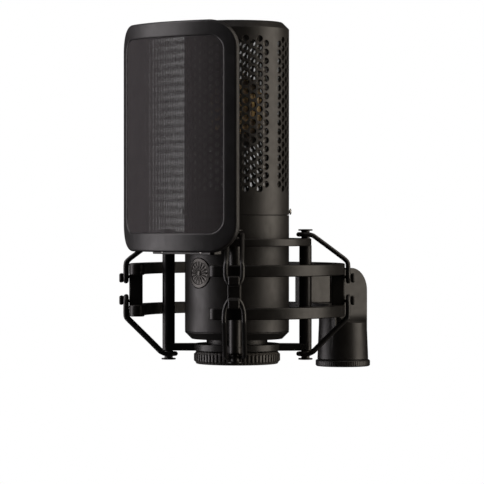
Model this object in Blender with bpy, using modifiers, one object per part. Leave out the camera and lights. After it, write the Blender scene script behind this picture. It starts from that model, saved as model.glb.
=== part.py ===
"""Side-address condenser microphone in an elastic shock mount, with a clip-on pop filter.

Units are metres and +Z is up. The microphone faces -Y. The origin is the centre of the stand
socket's mouth. Angles round the microphone are measured from its front, positive towards +X.
"""

import math

import bmesh
import bpy
from mathutils import Vector

OBJECT_NAME = "condenser_microphone"
GAP = 0.0003

# Microphone
MIC_Y = -0.0815
MIC_RADIUS = 0.028
GRILLE_TOP_Z = 0.1875
SEAM_Z = 0.0842
TOP_CHAMFER = 0.0037
GRILLE_WALL = 0.0012
SLEEVE_WALL = 0.002
SLEEVE_BOTTOM_Z = 0.022
BODY_BOTTOM_Z = 0.0179
NECK_RADIUS = 0.0164
NECK_BOTTOM_Z = 0.0053
RECESS_RADIUS = 0.0083
PIN_CIRCLE = 0.0038
BADGE_RADIUS = 0.008
BADGE_Z = 0.0535
CAPSULE_Z = 0.141
CAPSULE_RADIUS = 0.0165
FLOOR_TOP_Z = 0.0885

# Inner cradle
CORNERS = {"front_left": -45.0, "front_right": 45.0, "rear_left": -135.0, "rear_right": 135.0}
POST_CIRCLE = 0.0368
POST_RADIUS = 0.00335
CRADLE_OUTER = 0.040
CRADLE_INNER = 0.0334
CRADLE_TOP_Z = 0.0718
CRADLE_THICK = 0.004
BASE_TOP_Z = 0.0153
BASE_THICK = 0.0038
HUB_RADIUS = 0.0233
PEG_NECK = 0.00225
PEG_HEAD = 0.00385

# Outer frame
RING_OUTER = 0.058
RING_INNER = 0.050
RING_HEIGHT = 0.0061
RING_CENTRES = {"upper_ring": 0.0553, "lower_ring": 0.0331}
RING_OPENING = 31.0
CORNER_CIRCLE = 0.0544
CORNER_HALF = 0.0035
HOOK_LEVELS = {"upper": (0.0511, 0.0505), "lower": (0.0381, 0.0385)}

# Stand socket and tilt joint
PIVOT_Z = 0.042
EAR_RADIUS = 0.0128
EAR_FACE = 0.0065
EAR_SPLIT = 0.0004
BOLT_RADIUS = 0.0029
SOCKET_TOP_RADIUS = 0.0134
SOCKET_FOOT_RADIUS = 0.0142
COLLAR_RADIUS = 0.0152
THREAD_RADIUS = 0.0076

# Pop filter
FILTER_RADIUS = 0.086
FILTER_CENTRE_Y = MIC_Y + 0.0314
FILTER_THICK = 0.0058
FILTER_HALF_WIDTH = 0.0446
FILTER_BOTTOM_Z = 0.0649
FILTER_TOP_Z = 0.1856
FILTER_CORNER = 0.0145
FILTER_TOP_BORDER = 0.0084
FILTER_SIDE_BORDER = 0.0071
FILTER_FOOT_BORDER = 0.0102
DOCK_FRONT = 0.0406
DOCK_HALF_WIDTH = 0.024
DOCK_BOTTOM_Z = 0.0636

# Elastic cords: (distance from the microphone's axis, half the strand spacing, height)
CORD_RADIUS = 0.00125
UPPER_CORD = (
    (0.0380, 0.00375, 0.0740),
    (0.0409, 0.00380, 0.0733),
    (0.0470, 0.00385, 0.0688),
    (0.0577, 0.00400, 0.0608),
    (0.0594, 0.00420, 0.0591),
    (0.0597, 0.00435, 0.0570),
    (0.0597, 0.00430, 0.0530),
    (0.0597, 0.00385, 0.0509),
    (0.0597, 0.00240, 0.0487),
)
LOWER_CORD = (
    (0.0385, 0.00440, 0.00975),
    (0.0410, 0.00515, 0.0110),
    (0.0480, 0.00515, 0.0180),
    (0.0579, 0.00515, 0.0277),
    (0.0595, 0.00515, 0.0294),
    (0.0597, 0.00515, 0.0316),
    (0.0597, 0.00490, 0.0350),
    (0.0597, 0.00390, 0.0383),
    (0.0597, 0.00240, 0.0405),
)

BLACK = ((0.020, 0.019, 0.018), 0.45, 0.0)
SATIN = ((0.028, 0.026, 0.024), 0.38, 0.35)
RUBBER = ((0.012, 0.012, 0.012), 0.75, 0.0)
STEEL = ((0.55, 0.55, 0.56), 0.28, 1.0)
BRASS = ((0.72, 0.50, 0.22), 0.30, 1.0)
GOLD = ((0.90, 0.66, 0.30), 0.22, 1.0)
MESH = ((0.035, 0.035, 0.037), 0.5, 0.6)
PLASTIC = ((0.05, 0.05, 0.05), 0.5, 0.0)
BOARD = ((0.02, 0.13, 0.05), 0.45, 0.0)

ALONG_X = (0.0, math.radians(90), 0.0)
ALONG_Y = (math.radians(-90), 0.0, 0.0)
FACING_X = (math.radians(90), 0.0, math.radians(90))
FACING_Y = (math.radians(90), 0.0, 0.0)


def start_scene():
    """Empties the scene and returns the collections for the parts and for the cutters."""
    for obj in list(bpy.data.objects):
        bpy.data.objects.remove(obj, do_unlink=True)
    made = []
    for name in (OBJECT_NAME, "cutters"):
        collection = bpy.data.collections.new(name)
        bpy.context.scene.collection.children.link(collection)
        made.append(collection)
    return made


PARTS, CUTTERS = start_scene()


def make_object(name, data, finish):
    """Links a new object as a part with its own material, or as a cutter if it has no finish."""
    obj = bpy.data.objects.new(name, data)
    if finish is None:
        CUTTERS.objects.link(obj)
        obj.hide_render = True
        obj.display_type = "WIRE"
        return obj
    PARTS.objects.link(obj)
    colour, roughness, metallic = finish
    material = bpy.data.materials.new(name)
    material.use_nodes = True
    shader = material.node_tree.nodes["Principled BSDF"]
    shader.inputs["Base Color"].default_value = (*colour, 1.0)
    shader.inputs["Roughness"].default_value = roughness
    shader.inputs["Metallic"].default_value = metallic
    data.materials.append(material)
    return obj


def turned(name, profile, finish, place=(0.0, MIC_Y, 0.0), turn=(0.0, 0.0, 0.0), steps=32):
    """Turns a (radius, height) profile that runs down the outer side, and up the inner one of a bore."""
    mesh = bpy.data.meshes.new(name)
    edges = [(i, i + 1) for i in range(len(profile) - 1)]
    if profile[0][0] > 0.0:
        edges.append((len(profile) - 1, 0))
    mesh.from_pydata([(radius, 0.0, height) for radius, height in profile], edges, [])
    obj = make_object(name, mesh, finish)
    obj.location = place
    obj.rotation_euler = turn
    screw = obj.modifiers.new("Screw", "SCREW")
    screw.steps = screw.render_steps = steps
    screw.use_merge_vertices = True
    screw.merge_threshold = 0.00001
    return obj


def rod(name, radius, low, high, finish, **placing):
    return turned(name, [(0.0, high), (radius, high), (radius, low), (0.0, low)], finish, **placing)


def tube(name, outer, inner, low, high, finish, **placing):
    return turned(name, [(outer, high), (outer, low), (inner, low), (inner, high)], finish, **placing)


def block(name, low, high, finish):
    """A box between two corners."""
    low, high = Vector(low), Vector(high)
    mesh = bpy.data.meshes.new(name)
    form = bmesh.new()
    bmesh.ops.create_cube(form, size=1.0)
    bmesh.ops.scale(form, vec=high - low, verts=form.verts)
    bmesh.ops.translate(form, vec=(low + high) / 2, verts=form.verts)
    form.to_mesh(mesh)
    form.free()
    return make_object(name, mesh, finish)


def plate(name, loops, low, high, finish, place=(0.0, MIC_Y, 0.0), turn=(0.0, 0.0, 0.0)):
    """Extrudes an outline, the first loop, with its holes, the other loops, and gives one welded mesh."""
    curve = bpy.data.curves.new(name, "CURVE")
    curve.dimensions = "2D"
    curve.fill_mode = "BOTH"
    curve.extrude = (high - low) / 2
    for loop in loops:
        spline = curve.splines.new("POLY")
        spline.points.add(len(loop) - 1)
        for point, (x, y) in zip(spline.points, loop):
            point.co = (x, y, 0.0, 1.0)
        spline.use_cyclic_u = True
    flat = bpy.data.objects.new(name + "_outline", curve)
    CUTTERS.objects.link(flat)
    bpy.context.view_layer.update()
    graph = bpy.context.evaluated_depsgraph_get()
    mesh = bpy.data.meshes.new_from_object(flat.evaluated_get(graph))
    bpy.data.objects.remove(flat)
    form = bmesh.new()
    form.from_mesh(mesh)
    bmesh.ops.remove_doubles(form, verts=form.verts, dist=0.000001)
    bmesh.ops.translate(form, vec=(0.0, 0.0, (low + high) / 2), verts=form.verts)
    bmesh.ops.recalc_face_normals(form, faces=form.faces)
    form.to_mesh(mesh)
    form.free()
    mesh.materials.clear()
    obj = make_object(name, mesh, finish)
    obj.location = place
    obj.rotation_euler = turn
    return obj


def combine(target, other, operation):
    boolean = target.modifiers.new(operation.title() + " " + other.name, "BOOLEAN")
    boolean.operation = operation
    boolean.object = other


def circle(radius, centre=(0.0, 0.0), count=32):
    turns = [2 * math.pi * i / count for i in range(count)]
    return [(centre[0] + radius * math.cos(t), centre[1] + radius * math.sin(t)) for t in turns]


def arc(radius, start, end, count, centre=(0.0, 0.0)):
    """Points of an arc from one angle to another, in degrees anticlockwise from the first axis."""
    turns = [math.radians(start + (end - start) * i / count) for i in range(count + 1)]
    return [(centre[0] + radius * math.cos(t), centre[1] + radius * math.sin(t)) for t in turns]


def rounded_box(half_width, low, high, corner, count=6):
    """A rounded rectangle's outline, centred on the second axis."""
    outline = []
    for side, level, start in ((1, low, -90), (1, high, 0), (-1, high, 90), (-1, low, 180)):
        inset = corner if level == low else -corner
        centre = (side * (half_width - corner), level + inset)
        outline += arc(corner, start, start + 90, count, centre)
    return outline


def round_mic(radius, angle, across=0.0):
    """The plan position at this distance and front angle, moved sideways by across."""
    turn = math.radians(angle)
    outward = Vector((math.sin(turn), -math.cos(turn)))
    sideways = Vector((math.cos(turn), math.sin(turn)))
    return tuple(outward * radius + sideways * across)


# Microphone


def microphone_shell():
    inner = MIC_RADIUS - GRILLE_WALL
    foot = GRILLE_TOP_Z - TOP_CHAMFER
    grille = turned("grille_shell", [
        (0.0, GRILLE_TOP_Z),
        (MIC_RADIUS - TOP_CHAMFER, GRILLE_TOP_Z),
        (MIC_RADIUS, foot),
        (MIC_RADIUS, SEAM_Z + GAP),
        (inner, SEAM_Z + GAP),
        (inner, foot - 0.0004),
        (inner - TOP_CHAMFER + 0.0006, GRILLE_TOP_Z - GRILLE_WALL),
        (0.0, GRILLE_TOP_Z - GRILLE_WALL),
    ], SATIN, steps=48)
    liner = inner - 0.0005
    turned("grille_liner", [
        (0.0, GRILLE_TOP_Z - 0.0019),
        (liner - 0.0034, GRILLE_TOP_Z - 0.0019),
        (liner, foot - 0.0012),
        (liner, FLOOR_TOP_Z + GAP),
        (liner - 0.0005, FLOOR_TOP_Z + GAP),
        (liner - 0.0005, foot - 0.0014),
        (liner - 0.0037, GRILLE_TOP_Z - 0.0024),
        (0.0, GRILLE_TOP_Z - 0.0024),
    ], MESH)
    spigot = MIC_RADIUS - SLEEVE_WALL - GAP
    head_floor = turned("head_floor", [
        (0.0, FLOOR_TOP_Z),
        (inner - GAP, FLOOR_TOP_Z),
        (inner - GAP, SEAM_Z + GAP),
        (spigot, SEAM_Z + GAP),
        (spigot, SEAM_Z - 0.005),
        (0.0, SEAM_Z - 0.005),
    ], PLASTIC)
    for number, angle in enumerate(CORNERS.values(), start=1):
        x, y = round_mic(1.0, angle)
        turn = (0.0, math.radians(90), math.atan2(y, x))
        place = (0.0, MIC_Y, SEAM_Z + 0.0019)
        hole = rod(f"screw_hole_{number}", 0.0012, 0.0215, 0.031, None, place=place, turn=turn, steps=12)
        combine(grille, hole, "DIFFERENCE")
        combine(head_floor, hole, "DIFFERENCE")
        head = MIC_RADIUS + GAP
        turned(f"grille_screw_{number}", [
            (0.0, head + 0.0012),
            (0.0010, head + 0.0011),
            (0.0016, head + 0.0006),
            (0.0017, head),
            (0.0009, head),
            (0.0009, 0.0220),
            (0.0, 0.0220),
        ], STEEL, place=place, turn=turn, steps=12)


def microphone_body():
    inner = MIC_RADIUS - SLEEVE_WALL
    sleeve = tube("body_sleeve", MIC_RADIUS, inner, SLEEVE_BOTTOM_Z, SEAM_Z, SATIN, steps=48)
    seat = MIC_RADIUS - 0.0010
    face = MIC_RADIUS + 0.0003
    place = (0.0, MIC_Y, BADGE_Z)
    recess = rod("badge_recess", BADGE_RADIUS + GAP, -0.030, -0.020, None, place=place, turn=ALONG_Y)
    recess_floor = rod("badge_recess_floor", seat, -0.012, 0.012, None, place=place, steps=96)
    combine(recess, recess_floor, "DIFFERENCE")
    combine(sleeve, recess, "DIFFERENCE")
    badge = rod("badge", BADGE_RADIUS, -0.030, -0.020, SATIN, place=place, turn=ALONG_Y)
    curved = tube("badge_curve", face, seat + GAP, -0.012, 0.012, None, place=place, steps=96)
    combine(badge, curved, "INTERSECT")
    turned("end_cap", [
        (inner - GAP, SLEEVE_BOTTOM_Z + 0.0045),
        (inner - GAP, SLEEVE_BOTTOM_Z - GAP),
        (MIC_RADIUS, SLEEVE_BOTTOM_Z - GAP),
        (MIC_RADIUS, BODY_BOTTOM_Z + 0.0036),
        (MIC_RADIUS - 0.0036, BODY_BOTTOM_Z),
        (NECK_RADIUS, BODY_BOTTOM_Z),
        (NECK_RADIUS, NECK_BOTTOM_Z + 0.0005),
        (NECK_RADIUS - 0.0005, NECK_BOTTOM_Z),
        (RECESS_RADIUS, NECK_BOTTOM_Z),
        (RECESS_RADIUS, 0.0204),
        (0.0102, 0.0204),
        (0.0102, SLEEVE_BOTTOM_Z + 0.0045),
    ], SATIN, steps=36)


def connector():
    pins = [round_mic(PIN_CIRCLE, angle) for angle in (60.0, 180.0, 300.0)]
    holes = [circle(0.0012 + GAP, pin, 16) for pin in pins]
    plate("connector_insert", [circle(0.0099), *holes], 0.0207, 0.0255, PLASTIC)
    for number, (x, y) in enumerate(pins, start=1):
        turned(f"connector_pin_{number}", [
            (0.0, 0.0280),
            (0.0012, 0.0280),
            (0.0012, 0.0080),
            (0.0006, 0.0072),
            (0.0, 0.0072),
        ], STEEL, place=(x, MIC_Y + y, 0.0), steps=12)


def electronics():
    rail_low, rail_high = SLEEVE_BOTTOM_Z + 0.0045 + GAP, SEAM_Z - 0.005 - GAP
    for side, name in ((-1, "left"), (1, "right")):
        place = (side * 0.0226, MIC_Y, 0.0)
        rod(f"chassis_rail_{name}", 0.002, rail_low, rail_high, BRASS, place=place, steps=12)
    low = (-0.0203, MIC_Y - 0.0008, 0.0300)
    high = (0.0203, MIC_Y + 0.0008, 0.0765)
    block("circuit_board", low, high, BOARD)


def capsule():
    place = (0.0, MIC_Y, CAPSULE_Z)
    facing = {"place": place, "turn": ALONG_Y}
    rod("capsule_backplate", CAPSULE_RADIUS - 0.0003, -0.0016, 0.0016, BRASS, **facing)
    for side, name in ((-1, "front"), (1, "rear")):
        skin = sorted((side * 0.0019, side * 0.0021))
        ring = sorted((side * 0.0024, side * 0.0044))
        rod(f"{name}_diaphragm", CAPSULE_RADIUS - 0.0005, *skin, GOLD, **facing)
        tube(f"capsule_{name}_ring", CAPSULE_RADIUS, 0.0146, *ring, BRASS, **facing)
    isolator_low = FLOOR_TOP_Z + GAP
    turned("capsule_isolator", [
        (0.0, isolator_low + 0.006),
        (0.0075, isolator_low + 0.006),
        (0.0090, isolator_low + 0.0045),
        (0.0080, isolator_low + 0.003),
        (0.0090, isolator_low + 0.0015),
        (0.0090, isolator_low),
        (0.0, isolator_low),
    ], RUBBER, steps=24)
    near, far = CAPSULE_RADIUS + GAP, CAPSULE_RADIUS + 0.003
    pad = arc(far, -130, -50, 12) + arc(near, -50, -130, 12)
    saddle = plate("capsule_saddle", [pad], -0.005, 0.005, PLASTIC, place=place, turn=FACING_Y)
    stem_low = isolator_low + 0.006 + GAP
    stem = rod("saddle_stem", 0.0042, stem_low, CAPSULE_Z - near - 0.001, None, steps=24)
    combine(saddle, stem, "UNION")


# Inner cradle


def peg(name, angle, root_z, out):
    """A mushroom peg whose neck starts 1 mm inside the plate at root_z and points up (1) or down (-1)."""
    x, y = round_mic(POST_CIRCLE, angle)
    profile = [
        (0.0, 0.0049),
        (PEG_HEAD, 0.0049),
        (PEG_HEAD, 0.0041),
        (PEG_NECK, 0.0041),
        (PEG_NECK, -0.001),
        (0.0, -0.001),
    ]
    if out < 0:
        profile = [(radius, -height) for radius, height in reversed(profile)]
    return turned(name, profile, None, place=(x, MIC_Y + y, root_z), steps=12)


def spider_outline():
    """The base's hub with an arm to each corner."""
    half = math.degrees(math.asin(POST_RADIUS / HUB_RADIUS))
    outline = []
    angles = sorted(CORNERS.values())
    for angle, following in zip(angles, angles[1:] + [angles[0] + 360]):
        for i in range(7):
            swing = math.radians(-90 + 180 * i / 6)
            out = POST_CIRCLE + POST_RADIUS * math.cos(swing)
            outline.append(round_mic(out, angle, POST_RADIUS * math.sin(swing)))
        first, last = angle + half, following - half
        outline += [round_mic(HUB_RADIUS, first + (last - first) * i / 6) for i in range(7)]
    return outline


def cradle():
    ring_low = CRADLE_TOP_Z - CRADLE_THICK
    ring = plate("cradle_ring", [circle(CRADLE_OUTER, count=40), circle(CRADLE_INNER, count=40)],
                 ring_low, CRADLE_TOP_Z, BLACK)
    base_low = BASE_TOP_Z - BASE_THICK
    base = plate("cradle_base", [spider_outline(), circle(NECK_RADIUS + 0.0005)], base_low, BASE_TOP_Z, BLACK)
    for corner, angle in CORNERS.items():
        x, y = round_mic(POST_CIRCLE, angle)
        rod(f"cradle_post_{corner}", POST_RADIUS, BASE_TOP_Z + GAP, ring_low - GAP, BLACK,
            place=(x, MIC_Y + y, 0.0), steps=20)
        combine(ring, peg(f"ring_peg_{corner}", angle, CRADLE_TOP_Z, 1), "UNION")
        combine(base, peg(f"base_peg_{corner}", angle, base_low, -1), "UNION")
    turned("retaining_ring", [
        (0.0218, 0.0112),
        (0.0232, 0.0098),
        (0.0232, 0.0062),
        (0.0216, 0.0045),
        (NECK_RADIUS + 0.0004, 0.0045),
        (NECK_RADIUS + 0.0004, 0.0112),
    ], BLACK, steps=36)


# Outer frame


def ring_outline():
    """A ring open at the front, with half-round ends."""
    half = (RING_OUTER - RING_INNER) / 2
    middle = (RING_OUTER + RING_INNER) / 2
    first = RING_OPENING + math.degrees(math.asin(half / middle))
    around = [first + (360.0 - 2 * first) * i / 32 for i in range(33)]
    outline = [round_mic(RING_OUTER, angle) for angle in around]
    outline += ring_end(360.0 - first, middle, half, 1)
    outline += [round_mic(RING_INNER, angle) for angle in reversed(around)]
    outline += ring_end(first, middle, half, -1)
    return outline


def ring_end(angle, middle, half, side):
    """The half circle of an end, from the outer edge to the inner one (1) or back (-1)."""
    swings = [math.pi * i / 6 for i in range(1, 6)]
    return [round_mic(middle + side * half * math.cos(t), angle, side * half * math.sin(t))
            for t in swings]


def outer_frame():
    for name, centre in RING_CENTRES.items():
        plate(name, [ring_outline()], centre - RING_HEIGHT / 2, centre + RING_HEIGHT / 2, BLACK)
    post_low = RING_CENTRES["lower_ring"] + RING_HEIGHT / 2 + GAP
    post_high = RING_CENTRES["upper_ring"] - RING_HEIGHT / 2 - GAP
    side, short = CORNER_HALF, CORNER_HALF - 0.0008
    section = [(side, short), (short, side), (-short, side), (-side, short),
               (-side, -short), (-short, -side), (short, -side), (side, -short)]
    for corner, angle in CORNERS.items():
        x, y = round_mic(CORNER_CIRCLE, angle)
        post = plate(f"corner_post_{corner}", [section], post_low, post_high, BLACK,
                     place=(x, MIC_Y + y, 0.0), turn=(0.0, 0.0, math.atan2(y, x)))
        for level, (neck_z, head_z) in HOOK_LEVELS.items():
            neck = block(f"hook_neck_{level}_{corner}", (CORNER_CIRCLE, -0.0016, neck_z - 0.0008),
                         (0.0618, 0.0016, neck_z + 0.0008), None)
            head = block(f"hook_head_{level}_{corner}", (0.0613, -0.0030, head_z - 0.0025),
                         (0.0633, 0.0030, head_z + 0.0025), None)
            for piece in (neck, head):
                piece.location = (0.0, MIC_Y, 0.0)
                piece.rotation_euler = (0.0, 0.0, math.atan2(y, x))
                combine(post, piece, "UNION")


def frame_knuckle():
    """The block between the rings and the tilt joint's plate behind it, seen from +X as (y, z)."""
    low = RING_CENTRES["lower_ring"] + RING_HEIGHT / 2 + GAP
    high = RING_CENTRES["upper_ring"] - RING_HEIGHT / 2 - GAP
    front, back = MIC_Y + RING_INNER, -0.0163
    pivot = (0.0, 0.0, PIVOT_Z)
    body = [(front, low), (back, low), (back, high), (front, high)]
    knuckle = plate("frame_knuckle", [body], -EAR_FACE + 0.0002, EAR_FACE - 0.0002, BLACK,
                    place=(0.0, 0.0, 0.0), turn=FACING_X)
    top = 180 - math.degrees(math.asin((high - PIVOT_Z) / EAR_RADIUS))
    foot = -180 + math.degrees(math.asin((PIVOT_Z - low) / EAR_RADIUS))
    outline = arc(EAR_RADIUS, foot, top, 28) + [
        (back - 0.001, high - PIVOT_Z),
        (back - 0.001, low - PIVOT_Z),
    ]
    disc = plate("knuckle_disc", [outline, circle(BOLT_RADIUS + GAP, count=20)],
                 -EAR_FACE + 0.0002, -EAR_SPLIT, None, place=pivot, turn=FACING_X)
    combine(knuckle, disc, "UNION")


# Stand socket


def stand_socket():
    ear_foot_z = PIVOT_Z - 0.0225
    drop = ear_foot_z - PIVOT_Z
    outline = arc(EAR_RADIUS, 0, 180, 20) + [(-EAR_RADIUS, drop), (EAR_RADIUS, drop)]
    scoop_z, scoop_radius = 0.0323, 0.008
    socket = turned("swivel_socket", [
        (0.0, scoop_z),
        (SOCKET_TOP_RADIUS, scoop_z),
        (SOCKET_TOP_RADIUS, 0.0240),
        (SOCKET_FOOT_RADIUS, 0.0046),
        (SOCKET_FOOT_RADIUS - 0.0006, 0.0039),
        (0.0, 0.0039),
    ], BLACK, place=(0.0, 0.0, 0.0), steps=40)
    ear = plate("ear", [outline], EAR_SPLIT, EAR_FACE, None, place=(0.0, 0.0, PIVOT_Z), turn=FACING_X)
    scoop = rod("scoop", scoop_radius, -0.02, 0.02, None, turn=ALONG_Y, steps=40,
                place=(EAR_FACE + scoop_radius, 0.0, scoop_z))
    step = block("socket_step", (-0.02, -0.02, PIVOT_Z - EAR_RADIUS - 0.0008), (EAR_SPLIT, 0.02, 0.06), None)
    bore = rod("thread_seat", 0.0098, -0.001, 0.0186, None, place=(0.0, 0.0, 0.0))
    blind = rod("bolt_bore", BOLT_RADIUS + GAP, -0.004, 0.0052, None, turn=ALONG_X,
                place=(0.0, 0.0, PIVOT_Z), steps=20)
    combine(socket, scoop, "DIFFERENCE")
    combine(socket, step, "DIFFERENCE")
    combine(socket, ear, "UNION")
    combine(socket, bore, "DIFFERENCE")
    combine(socket, blind, "DIFFERENCE")
    tube("thread_insert", 0.0095, THREAD_RADIUS, 0.0, 0.0180, BRASS, place=(0.0, 0.0, 0.0))
    turned("thread_collar", [
        (COLLAR_RADIUS - 0.0006, 0.0036),
        (COLLAR_RADIUS, 0.0030),
        (COLLAR_RADIUS, 0.0006),
        (COLLAR_RADIUS - 0.0006, 0.0),
        (0.0098, 0.0),
        (0.0098, 0.0036),
    ], BLACK, place=(0.0, 0.0, 0.0))


def tilt_lock():
    pivot = (0.0, 0.0, PIVOT_Z)
    inner = -EAR_FACE - 0.0001
    rod("pivot_bolt", BOLT_RADIUS, -0.0150, 0.0046, STEEL, place=pivot, turn=ALONG_X, steps=20)
    tube("lock_washer", 0.0080, BOLT_RADIUS + GAP, inner - 0.0010, inner, STEEL,
         place=pivot, turn=ALONG_X, steps=20)
    lobes, count = 8, 48
    turns = [2 * math.pi * i / count for i in range(count)]
    outline = [((0.0108 + 0.0008 * math.cos(lobes * t)) * math.cos(t),
                (0.0108 + 0.0008 * math.cos(lobes * t)) * math.sin(t)) for t in turns]
    face = inner - 0.0010 - GAP
    knob = plate("lock_knob", [outline], face - 0.0125, face, BLACK, place=pivot, turn=FACING_X)
    bore = rod("knob_bore", BOLT_RADIUS + GAP, -0.0154, 0.0, None, place=pivot, turn=ALONG_X, steps=20)
    combine(knob, bore, "DIFFERENCE")


# Elastic cords


def cord_loop(name, angle, route, peg_z):
    """A closed loop round a cradle peg and a frame hook, with a strand on each side of the corner."""
    half = PEG_NECK + CORD_RADIUS + GAP
    swings = [math.radians(90 + 180 * i / 5) for i in range(6)]
    points = [(POST_CIRCLE + half * math.cos(s), half * math.sin(s), peg_z) for s in swings]
    points += [(out, -across, height) for out, across, height in route]
    points += [(out, across, height) for out, across, height in reversed(route)]
    curve = bpy.data.curves.new(name, "CURVE")
    curve.dimensions = "3D"
    curve.bevel_depth = CORD_RADIUS
    curve.bevel_resolution = 1
    spline = curve.splines.new("POLY")
    spline.points.add(len(points) - 1)
    for point, (out, across, height) in zip(spline.points, points):
        x, y = round_mic(out, angle, across)
        point.co = (x, MIC_Y + y, height, 1.0)
    spline.use_cyclic_u = True
    make_object(name, curve, RUBBER)


def elastic_cords():
    for corner, angle in CORNERS.items():
        cord_loop(f"elastic_upper_{corner}", angle, UPPER_CORD, 0.0739)
        cord_loop(f"elastic_lower_{corner}", angle, LOWER_CORD, 0.00975)


# Pop filter


def filter_layer(name, near, far, loops, finish):
    """A plate from radius near to far, drawn as (x, z) on the front face and bent round the filter's axis."""
    layer = plate(name, loops, near, far, finish, place=(0.0, FILTER_CENTRE_Y, 0.0))
    form = bmesh.new()
    form.from_mesh(layer.data)
    step = math.radians(3)
    folds = int(math.asin(FILTER_HALF_WIDTH / FILTER_RADIUS) / step)
    for i in range(-folds, folds + 1):
        place = (FILTER_RADIUS * math.sin(step * i), 0.0, 0.0)
        shape = form.verts[:] + form.edges[:] + form.faces[:]
        bmesh.ops.bisect_plane(form, geom=shape, plane_co=place, plane_no=(1.0, 0.0, 0.0), dist=0.000001)
    bmesh.ops.triangulate(form, faces=form.faces)
    for vert in form.verts:
        x, z, radius = vert.co
        turn = math.asin(x / FILTER_RADIUS)
        vert.co = (radius * math.sin(turn), -radius * math.cos(turn), z)
    form.to_mesh(layer.data)
    form.free()


def pop_filter():
    outline = rounded_box(FILTER_HALF_WIDTH, FILTER_BOTTOM_Z, FILTER_TOP_Z, FILTER_CORNER)
    window_half = FILTER_HALF_WIDTH - FILTER_SIDE_BORDER
    window_low, window_high = FILTER_BOTTOM_Z + FILTER_FOOT_BORDER, FILTER_TOP_Z - FILTER_TOP_BORDER
    window = rounded_box(window_half, window_low, window_high, 0.0075)
    inset = rounded_box(window_half - GAP, window_low + GAP, window_high - GAP, 0.0072)
    back = FILTER_RADIUS - FILTER_THICK
    filter_layer("filter_front_frame", FILTER_RADIUS - 0.0025, FILTER_RADIUS, [outline, window], BLACK)
    filter_layer("filter_front_mesh", FILTER_RADIUS - 0.0009, FILTER_RADIUS - 0.0005, [inset], MESH)
    filter_layer("filter_rear_frame", back, FILTER_RADIUS - 0.0028, [outline, window], BLACK)
    filter_layer("filter_rear_mesh", back + 0.0004, back + 0.0008, [inset], MESH)
    dock_top = CRADLE_TOP_Z - CRADLE_THICK - GAP
    half, front = DOCK_HALF_WIDTH, -DOCK_FRONT
    dock_outline = [(-half, front + 0.0015), (-half + 0.0015, front), (half - 0.0015, front),
                    (half, front + 0.0015), (half, -0.0337), (-half, -0.0337)]
    dock = plate("filter_dock", [dock_outline], DOCK_BOTTOM_Z, dock_top, BLACK)
    for side, name in ((-1, "left"), (1, "right")):
        place = (side * 0.015, MIC_Y, 0.0656)
        seat = rod(f"magnet_seat_{name}", 0.0015, -0.043, -0.037, None, place=place, turn=ALONG_Y, steps=16)
        combine(dock, seat, "DIFFERENCE")
        rod(f"dock_magnet_{name}", 0.0012, -DOCK_FRONT, -0.0373, STEEL, place=place, turn=ALONG_Y, steps=16)
    bracket = block("filter_bracket", (-0.022, MIC_Y - 0.0500, 0.0656 - 0.0007),
                    (0.022, MIC_Y - DOCK_FRONT - GAP, 0.0728), BLACK)
    rear_face = rod("filter_rear_face", back - GAP, 0.05, 0.08, None,
                    place=(0.0, FILTER_CENTRE_Y, 0.0), steps=120)
    combine(bracket, rear_face, "INTERSECT")


def main():
    microphone_shell()
    microphone_body()
    connector()
    electronics()
    capsule()
    cradle()
    outer_frame()
    frame_knuckle()
    stand_socket()
    tilt_lock()
    elastic_cords()
    pop_filter()
    bpy.context.view_layer.update()
    for obj in PARTS.objects:
        if obj.type == "MESH":
            obj.data.shade_smooth()
            obj.data.set_sharp_from_angle(angle=math.radians(35))


main()
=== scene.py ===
"""Looks of a side-address condenser microphone in its elastic mount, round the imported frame.

Units are metres and +Z is up. The microphone faces -Y and its axis is the vertical line at MIC_Y.
Angles round that axis are in degrees from the front, positive towards +X.
"""

import math

import bmesh
import bpy
from mathutils import Euler, Matrix, Vector


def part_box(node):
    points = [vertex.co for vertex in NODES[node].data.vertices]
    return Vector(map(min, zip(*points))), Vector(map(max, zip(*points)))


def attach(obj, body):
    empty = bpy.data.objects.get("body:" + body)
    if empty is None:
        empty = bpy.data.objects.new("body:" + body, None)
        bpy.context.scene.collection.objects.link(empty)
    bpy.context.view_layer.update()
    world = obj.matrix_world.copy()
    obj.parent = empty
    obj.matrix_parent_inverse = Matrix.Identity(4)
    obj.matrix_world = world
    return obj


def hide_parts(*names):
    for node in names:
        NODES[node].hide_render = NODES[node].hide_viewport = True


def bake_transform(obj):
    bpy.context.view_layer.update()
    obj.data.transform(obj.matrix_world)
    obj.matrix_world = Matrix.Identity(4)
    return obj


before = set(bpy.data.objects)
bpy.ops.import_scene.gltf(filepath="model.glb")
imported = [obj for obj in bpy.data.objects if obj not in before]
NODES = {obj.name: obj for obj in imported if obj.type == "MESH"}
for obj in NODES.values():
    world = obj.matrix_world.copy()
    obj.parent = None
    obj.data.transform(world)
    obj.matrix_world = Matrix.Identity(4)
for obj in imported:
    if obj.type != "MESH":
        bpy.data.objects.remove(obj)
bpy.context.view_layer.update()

MIC_Y = -0.0815
CORNERS = {"front_left": -45.0, "front_right": 45.0, "rear_left": -135.0, "rear_right": 135.0}

# Microphone
SHELL_RADIUS = 0.028
SHELL_TOP = 0.1875
SHELL_WALL = 0.0012
SEAM = 0.0842
HOLE_RADIUS = 0.0017
HOLE_ROW = 0.00233
FIRST_HOLE = 0.1775
BADGE_Z = 0.0535
SCREW_RISE = 0.0019

# Cradle
POST_CIRCLE = 0.0368
POST_RADIUS = 0.00335
PEG_NECK = 0.00225
PEG_HEAD = 0.00385
CRADLE_OUTER = 0.040
CRADLE_INNER = 0.0334
CRADLE_LEVELS = (0.0678, 0.0718)
BASE_LEVELS = (0.0115, 0.0153)
HUB_RADIUS = 0.0233
HUB_BORE = 0.0169

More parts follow.
